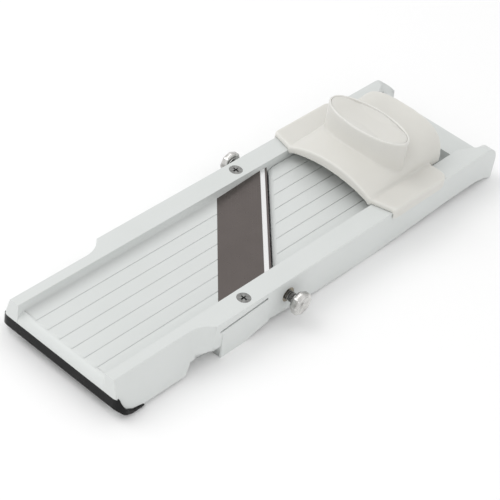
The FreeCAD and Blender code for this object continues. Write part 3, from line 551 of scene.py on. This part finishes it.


# the flat steel colours are kept dark as painted reflection of dark surroundings, over the steel's own
# colour; the white line colour is a painted highlight along the bevel
bladeFinish = {"run": 1.055, "edge": -0.5, "groundWidth": 1.7, "highlightWidth": 3.9, "blend": 0.25,
               "highlightBlend": 0.4, "flat": (0.165, 0.145, 0.137, 1), "flatWorn": (0.23, 0.205, 0.195, 1),
               "flatDark": (0.13, 0.115, 0.108, 1), "ground": (0.17, 0.15, 0.145, 1),
               "bevelHighlight": (1.0, 1.0, 1.0, 1)}


def makeBladeSteel():
    # the ground edge and the painted highlight line behind it lie at set distances from the cutting edge
    material, tree, shader, place = newMaterial("bladeSteel")
    parts = tree.nodes.new("ShaderNodeSeparateXYZ")
    tree.links.new(place, parts.inputs[0])
    along = addMath(tree, "SUBTRACT", parts.outputs["X"],
                    addMath(tree, "MULTIPLY", parts.outputs["Y"], bladeFinish["run"]))
    fromEdge = addMath(tree, "SUBTRACT", bladeFinish["edge"] * mm, along)
    ground = addRange(tree, fromEdge, bladeFinish["groundWidth"] * mm,
                      (bladeFinish["groundWidth"] + bladeFinish["blend"]) * mm, 1, 0)
    widthToHighlight = (bladeFinish["groundWidth"] + bladeFinish["highlightWidth"]) * mm
    blendEnd = widthToHighlight + bladeFinish["highlightBlend"] * mm
    bevelHighlight = addMath(tree, "SUBTRACT", addRange(tree, fromEdge, widthToHighlight, blendEnd, 1, 0), ground)
    alongBlade = math.atan(bladeFinish["run"]) - math.pi / 2
    grain = useGroup(tree, scratchGroup, place, {
        "Stretch": (12, 2600, 2600), "Turn": (0, 0, alongBlade), "Cover": 0.45})
    drift = addNoise(tree, place, 45, 4)
    flat = addMix(tree, addMath(tree, "MULTIPLY", grain.outputs["Mask"], 0.5), bladeFinish["flat"],
                  bladeFinish["flatWorn"])
    flat = addMix(tree, addRange(tree, drift, 0.35, 0.7, 0, 0.35), flat, bladeFinish["flatDark"])
    colour = addMix(tree, ground, flat, bladeFinish["ground"])
    # painted highlight: a white line along the bevel
    colour = addMix(tree, bevelHighlight, colour, bladeFinish["bevelHighlight"])
    tree.links.new(colour, shader.inputs["Base Color"])
    rough = addRange(tree, addNoise(tree, place, 300, 3), 0.3, 0.7, 0.26, 0.42)
    tree.links.new(rough, shader.inputs["Roughness"])
    shader.inputs["Metallic"].default_value = 1.0
    addBump(tree, shader, grain.outputs["Mask"], 0.12, 0.00005)
    return material


metals = {
    "screwSteel": {"colour": (0.31, 0.31, 0.30, 1), "shade": (0.22, 0.22, 0.215, 1), "lowRough": 0.24,
                   "highRough": 0.42, "stretch": (900, 900, 40), "edgeLift": 0.5},
    # the thumb steel's dark shade is a painted reflection of dark surroundings, laid in blotches
    "thumbSteel": {"colour": (0.72, 0.71, 0.69, 1), "shade": (0.33, 0.325, 0.31, 1), "lowRough": 0.2,
                   "highRough": 0.38, "stretch": (900, 60, 900), "edgeLift": 0.6},
    "prongSteel": {"colour": (0.66, 0.66, 0.65, 1), "shade": (0.52, 0.52, 0.51, 1), "lowRough": 0.2,
                   "highRough": 0.36, "stretch": (900, 900, 50), "edgeLift": 0.4},
    "insertBrass": {"colour": (0.26, 0.22, 0.15, 1), "shade": (0.16, 0.135, 0.09, 1), "lowRough": 0.25,
                    "highRough": 0.45, "stretch": (900, 900, 60), "edgeLift": 0.4}}
sharpEdgeColour = (0.93, 0.93, 0.92, 1)
hollowShadeColour = (0.08, 0.08, 0.08, 1)


def makeMetal(name):
    # blotchy metal, lighter on its sharp edges, with painted shade darkening its hollows
    values = metals[name]
    material, tree, shader, place = newMaterial(name)
    grain = useGroup(tree, scratchGroup, place, {"Stretch": values["stretch"], "Cover": 0.48})
    edges = useGroup(tree, edgeGroup, place, {"Low": 0.52, "High": 0.62})
    hollows = useGroup(tree, edgeGroup, place, {"Low": 0.485, "High": 0.42})
    # blotches between colour and shade; on the thumb steel the dark blotches are painted reflections
    blotch = addRange(tree, addNoise(tree, place, 220, 4), 0.35, 0.7, 0, 1)
    base = addMix(tree, blotch, values["colour"], values["shade"])
    # lighter towards the pale edge colour on sharp edges
    lighterEdges = addMath(tree, "MULTIPLY", edges.outputs["Mask"], values["edgeLift"])
    base = addMix(tree, lighterEdges, base, sharpEdgeColour)
    # painted shade: hollows and crevices darkened towards the hollow shade colour
    base = addMix(tree, addMath(tree, "MULTIPLY", hollows.outputs["Mask"], 0.8), base, hollowShadeColour)
    tree.links.new(base, shader.inputs["Base Color"])
    rough = addRange(tree, grain.outputs["Mask"], 0, 1, values["lowRough"], values["highRough"])
    tree.links.new(rough, shader.inputs["Roughness"])
    shader.inputs["Metallic"].default_value = 1.0
    addBump(tree, shader, grain.outputs["Mask"], 0.15, 0.00005)
    return material


# the neck colour is painted shade between the wall and the head
thumbFinish = {"neckTo": 51.9, "ringPitch": 1.0, "paintedNeckShade": (0.035, 0.035, 0.034, 1)}


def makeThumbSteel():
    # a bright head; the screw between the wall and the head is darkened as painted shade, in rings as
    # painted thread shading
    material = makeMetal("thumbSteel")
    tree = material.node_tree
    shader = tree.nodes["Principled BSDF"]
    steel = shader.inputs["Base Color"].links[0].from_socket
    parts = tree.nodes.new("ShaderNodeSeparateXYZ")
    coordinates = tree.nodes.new("ShaderNodeTexCoord")
    tree.links.new(coordinates.outputs["Object"], parts.inputs[0])
    outward = addMath(tree, "ABSOLUTE", parts.outputs["Y"], 0)
    neck = addMath(tree, "LESS_THAN", outward, thumbFinish["neckTo"] * mm)
    ring = addMath(tree, "PINGPONG", outward, thumbFinish["ringPitch"] * mm / 2)
    ringDark = addRange(tree, ring, 0, thumbFinish["ringPitch"] * mm / 2, 1, 0.55)
    # painted shade on the neck, stronger and weaker in rings
    colour = addMix(tree, addMath(tree, "MULTIPLY", neck, ringDark), steel, thumbFinish["paintedNeckShade"])
    tree.links.new(colour, shader.inputs["Base Color"])
    return material


dialFinish = {"colour": (0.55, 0.57, 0.56, 1), "shade": (0.47, 0.49, 0.48, 1), "drift": 0.8,
              "edge": (0.72, 0.73, 0.72, 1), "edgeShare": 0.5, "lowRough": 0.38, "highRough": 0.55,
              "peel": 1500}


def makeDialPlastic():
    material, tree, shader, place = newMaterial("dialPlastic")
    skin = useGroup(tree, mouldGroup, place, {
        "Colour": dialFinish["colour"], "Shade": dialFinish["shade"], "Drift": dialFinish["drift"],
        "Low Roughness": dialFinish["lowRough"], "High Roughness": dialFinish["highRough"],
        "Peel Scale": dialFinish["peel"]})
    edges = useGroup(tree, edgeGroup, place, {"Low": 0.52, "High": 0.6})
    lighterEdges = addMath(tree, "MULTIPLY", edges.outputs["Mask"], dialFinish["edgeShare"])
    colour = addMix(tree, lighterEdges, skin.outputs["Colour"], dialFinish["edge"])
    tree.links.new(colour, shader.inputs["Base Color"])
    tree.links.new(skin.outputs["Roughness"], shader.inputs["Roughness"])
    addBump(tree, shader, skin.outputs["Height"], 0.2, 0.0001)
    return material


whitePlastic = makeWhitePlastic()
frostedPlastic = makeFrostedPlastic()
blackRubber = makeRubber()
bladeSteel = makeBladeSteel()
screwSteel = makeMetal("screwSteel")
thumbSteel = makeThumbSteel()
prongSteel = makeMetal("prongSteel")
insertBrass = makeMetal("insertBrass")
dialPlastic = makeDialPlastic()
print("materials ready")

# frame, ramp and foot

bladeScrew = {"headRadius": 4.1, "rim": 0.3, "shankRadius": 2.0, "length": 14.6, "recessReach": 2.15,
              "recessArm": 0.5, "recessDepth": 1.5}
boardEdges = {"width": 0.55, "segments": 3, "sharp": 28, "topSpread": 0.2, "screwClear": 5.0}


def makeBoard(nodeName, pieceName, body, heights):
    # the moulded top edges at the given heights get a small radius, and the ramp is given none; grooves and
    # screw seats keep their crisp ones
    values = boardEdges
    piece = mergedCopy(nodeName, pieceName)
    screwLow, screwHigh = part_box("blade_screws")
    reach = bladeScrew["headRadius"] * mm
    screwPlaces = [Vector((screwLow.x + reach, screwLow.y + reach)),
                   Vector((screwHigh.x - reach, screwHigh.y - reach))]

    def isTopEdge(edge):
        if not edge.is_manifold or edge.calc_face_angle(0) < math.radians(values["sharp"]):
            return False
        if edge.calc_length() < 0.3 * mm:
            return False
        middle = (edge.verts[0].co + edge.verts[1].co) / 2
        if any((middle.xy - place).length < values["screwClear"] * mm for place in screwPlaces):
            return False
        return any(all(abs(corner.co.z - height) < values["topSpread"] * mm for corner in edge.verts)
                   for height in heights)

    form = bmesh.new()
    form.from_mesh(piece.data)
    chosen = [edge for edge in form.edges if isTopEdge(edge)]
    bmesh.ops.bevel(form, geom=chosen, offset=values["width"] * mm, offset_type="OFFSET",
                    segments=values["segments"], profile=0.5, affect="EDGES", clamp_overlap=True)
    form.to_mesh(piece.data)
    form.free()
    evenlyShaded(piece, 35)
    settle(piece, body, [nodeName], whitePlastic)
    print(nodeName, "edges rounded:", len(chosen))


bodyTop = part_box("frame")[1].z
makeBoard("frame", "frameShell", "frame", [bodyTop])
makeBoard("ramp", "rampPlate", "ramp", [])
print("frame and ramp ready")

footSkin = {"voxel": 0.35, "rounds": 6}
footBand = softened(mergedCopy("foot_strip", "footBand"), footSkin["voxel"], footSkin["rounds"])
settle(footBand, "frame", ["foot_strip"], blackRubber)
print("foot band ready")

# hand guard

guardSkin = {"voxel": 0.6, "rounds": 8}
guardCopy = mergedCopy("guard_carriage", "guardMoulding")
guardMoulding = softened(guardCopy, guardSkin["voxel"], guardSkin["rounds"])
settle(guardMoulding, "guard", ["guard_carriage"], frostedPlastic)
lidSkin = {"voxel": 0.45, "rounds": 5}
knobLid = softened(mergedCopy("knob_cap", "knobLid"), lidSkin["voxel"], lidSkin["rounds"])
settle(knobLid, "guard", ["knob_cap"], frostedPlastic)
print("guard ready")

# blade

slicingBlade = mergedCopy("slicing_blade", "slicingBlade")
smoothShaded(slicingBlade, 20)
settle(slicingBlade, "frame", ["slicing_blade"], bladeSteel)
print("blade ready")

# screws, prongs and pins


def makeBladeScrews():
    values = bladeScrew
    cone = values["headRadius"] - values["shankRadius"]
    profile = [(0, 0), (values["headRadius"] - 0.35, 0), (values["headRadius"] - 0.1, -0.08),
               (values["headRadius"], -values["rim"]), (values["shankRadius"], -values["rim"] - cone),
               (values["shankRadius"], -values["length"] + 0.6),
               (values["shankRadius"] - 0.5, -values["length"]),
               (0, -values["length"])]
    screw = lathe("bladeScrews", profile[::-1], 64)
    cutAway(screw, crossCutter(values["recessReach"], values["recessArm"], values["recessDepth"], 0.1))
    low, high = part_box("blade_screws")
    reach = values["headRadius"] * mm
    first = Vector((low.x + reach, low.y + reach, high.z))
    last = Vector((high.x - reach, high.y - reach, high.z))
    growWith(screw, rowTree, {"Count": 2, "First": first, "Step": last - first, "Material": screwSteel})
    smoothShaded(screw, 30)
    settle(screw, "frame", ["blade_screws"], screwSteel)


makeBladeScrews()

thumbScrew = {"radius": 7.1, "flat": 0.938, "thickness": 4.4, "neck": 6.9, "core": 2.55, "crest": 3.0,
              "tip": -6.0, "pitch": 1.5, "threadStart": -5.4, "threadEnd": 5.1, "ridge": 0.42,
              "rimWidth": 1.5, "dish": 0.4}


def octagonRule(turn, radius):
    # the rim of the head is cut to eight flats with their corners left round
    if radius < thumbScrew["radius"] - 1.2:
        return 1.0
    swing = turn % (math.pi / 4) - math.pi / 8
    return min(1.0, thumbScrew["flat"] / math.cos(swing))


def makeThumbScrew(nodeName, pieceName, body, side):
    values = thumbScrew
    head, face = values["neck"], values["neck"] + values["thickness"]
    radius = values["radius"]
    profile = [(0, values["tip"]), (values["core"] - 0.4, values["tip"]),
               (values["core"], values["tip"] + 0.4),
               (values["core"], head - 1.6), (values["crest"], head - 1.3), (values["crest"], head),
               (radius - 1.5, head), (radius - 0.7, head + 0.1), (radius - 0.15, head + 0.5),
               (radius, head + 0.95), (radius, face - 1.1), (radius - 0.15, face - 0.6),
               (radius - 0.5, face - 0.2), (radius - 0.9, face), (radius - values["rimWidth"] - 0.3, face),
               (radius - values["rimWidth"] - 0.7, face - values["dish"] * 0.7),
               (radius - values["rimWidth"] - 1.1, face - values["dish"]), (1.2, face - values["dish"]),
               (0.7, face - values["dish"] - 0.25), (0, face - values["dish"] - 0.3)]
    screw = lathe(pieceName, profile, 96, octagonRule)
    threadLength = values["threadEnd"] - values["threadStart"]
    growWith(screw, threadTree, {
        "Radius": (values["crest"] - values["ridge"]) * mm, "Turns": threadLength / values["pitch"],
        "Length": threadLength * mm, "Start Height": values["threadStart"] * mm,
        "Ridge": values["ridge"] * mm,
        "Material": thumbSteel})
    low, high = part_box(nodeName)
    outer = high.y if side > 0 else low.y
    wall = outer - side * face * mm
    turnTo(screw, (0, side, 0), ((low.x + high.x) / 2, wall, (low.z + high.z) / 2))
    smoothShaded(screw, 30)
    settle(screw, body, [nodeName], thumbSteel)


makeThumbScrew("near_thumb_screw", "nearThumbScrew", "near_clamp", -1)
makeThumbScrew("far_thumb_screw", "farThumbScrew", "far_clamp", 1)

prong = {"radius": 0.8, "point": 3.0, "columns": 3, "rows": 4, "columnPitch": 6.5, "rowPitch": 9.0}


def makeProngs():
    low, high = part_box("food_prongs")
    tall = (high.z - low.z) / mm
    profile = [(0, 0), (0.12, 0.12), (0.3, prong["point"] * 0.35), (0.6, prong["point"] * 0.75),
               (prong["radius"], prong["point"]), (prong["radius"], tall - 0.1),
               (prong["radius"] - 0.1, tall),
               (0, tall)]
    pins = lathe("foodProngs", profile, 20)
    centre = Vector(((low.x + high.x) / 2, 0, low.z))
    growWith(pins, fieldTree, {
        "Columns": prong["columns"], "Rows": prong["rows"], "Column Pitch": prong["columnPitch"] * mm,
        "Row Pitch": prong["rowPitch"] * mm, "Centre": centre, "Clear Width": prong["columnPitch"] * mm / 2,
        "Clear From": prong["rowPitch"] * mm, "Material": prongSteel})
    smoothShaded(pins, 40)
    settle(pins, "guard", ["food_prongs"], prongSteel)


makeProngs()

plateScrew = {"headRadius": 2.7, "headDepth": 1.4, "shankRadius": 1.3, "recessReach": 1.5, "recessArm": 0.35}


def makePlateScrews():
    values = plateScrew
    low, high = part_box("prong_plate_screws")
    tall = (high.z - low.z) / mm
    profile = [(0, 0), (1.6, 0.03), (2.2, 0.16), (2.55, 0.42), (values["headRadius"], 0.8),
               (values["headRadius"], values["headDepth"]), (values["shankRadius"], values["headDepth"]),
               (values["shankRadius"], tall - 0.6), (0, tall)]
    screw = lathe("plateScrews", profile, 48)
    cutter = crossCutter(values["recessReach"], values["recessArm"], 0.9, 0)
    cutter.data.transform(Matrix.Rotation(math.pi, 4, "X"))
    cutter.data.transform(Matrix.Translation((0, 0, -0.05 * mm)))
    cutAway(screw, cutter)
    first = Vector(((low.x + high.x) / 2, low.y + values["headRadius"] * mm, low.z))
    step = Vector((0, high.y - low.y - 2 * values["headRadius"] * mm, 0))
    growWith(screw, rowTree, {"Count": 2, "First": first, "Step": step, "Material": screwSteel})
    smoothShaded(screw, 30)
    settle(screw, "guard", ["prong_plate_screws"], screwSteel)


makePlateScrews()

smallPieces = [("near_thumb_washer", "nearThumbWasher", "near_washer", "screw_steel", screwSteel, 0.15),
               ("far_thumb_washer", "farThumbWasher", "far_washer", "screw_steel", screwSteel, 0.15),
               ("hinge_pin", "hingePin", "frame", "screw_steel", screwSteel, 0.1),
               ("adjuster_bush", "adjusterBush", "frame", "insert_brass", insertBrass, 0.15),
               ("adjuster_screw", "adjusterScrew", "adjuster", "screw_steel", screwSteel, 0.15),
               ("thrust_pad", "thrustPad", "thrust_pad", "dial_plastic", dialPlastic, 0.2),
               ("adjuster_dial", "adjusterDial", "adjuster", "dial_plastic", dialPlastic, 0.3),
               ("dial_nut", "dialNut", "adjuster", "screw_steel", screwSteel, 0.2),
               ("prong_plate", "prongPlate", "guard", "prong_steel", prongSteel, 0.2),
               ("blade_screw_inserts", "bladeInserts", "frame", "insert_brass", insertBrass, 0.1),
               ("clamp_screw_inserts", "clampInserts", "frame", "insert_brass", insertBrass, 0.1)]
for nodeName, pieceName, body, slotName, material, width in smallPieces:
    piece = rounded(mergedCopy(nodeName, pieceName), width)
    settle(piece, body, [nodeName], material)
print("screws, pins and adjuster ready")

# floor, light and camera

stage = {"floorSize": 3.0, "floorColour": (0.97, 0.97, 0.97, 1), "worldStrength": 0.84}
floorForm = bmesh.new()
bmesh.ops.create_grid(floorForm, x_segments=8, y_segments=8, size=stage["floorSize"])
floorMesh = bpy.data.meshes.new("floor")
floorForm.to_mesh(floorMesh)
floorForm.free()
floor = addObject("floor", floorMesh)
floorMaterial = bpy.data.materials.new("floorPaint")
floorMaterial.use_nodes = True
floorShader = floorMaterial.node_tree.nodes["Principled BSDF"]
floorShader.inputs["Base Color"].default_value = stage["floorColour"]
floorShader.inputs["Roughness"].default_value = 0.8
floor.data.materials.append(floorMaterial)

world = bpy.data.worlds.new("studio")
scene.world = world
world.use_nodes = True
backdrop = world.node_tree.nodes["Background"]
backdrop.inputs["Color"].default_value = (1, 1, 1, 1)
backdrop.inputs["Strength"].default_value = stage["worldStrength"]

lamps = [("keyLight", (-0.5, 0.8, 1.2), 1.0, 6.5), ("fillLight", (-0.9, -0.9, 0.6), 0.8, 1.4)]
for name, place, size, power in lamps:
    lamp = bpy.data.lights.new(name, "AREA")
    lamp.shape = "SQUARE"
    lamp.size = size
    lamp.energy = power
    holder = bpy.data.objects.new(name, lamp)
    holder.location = place
    holder.rotation_euler = (-Vector(place)).to_track_quat("-Z", "Y").to_euler()
    scene.collection.objects.link(holder)

view = {"place": (-630.2, -441.7, 642.4), "right": (0.66568, -0.73376, 0.13588),
        "up": (0.41161, 0.51293, 0.75331), "back": (-0.62245, -0.44554, 0.64347), "lens": 126.16}
cameraData = bpy.data.cameras.new("camera")
cameraData.lens = view["lens"]
cameraData.sensor_width = 36
cameraData.clip_start = 0.05
camera = bpy.data.objects.new("camera", cameraData)
turn = Matrix((view["right"], view["up"], view["back"])).transposed()
camera.matrix_world = Matrix.Translation(Vector(view["place"]) * mm) @ turn.to_4x4()
scene.collection.objects.link(camera)
scene.camera = camera
scene.view_settings.view_transform = "Standard"
print("stage ready")
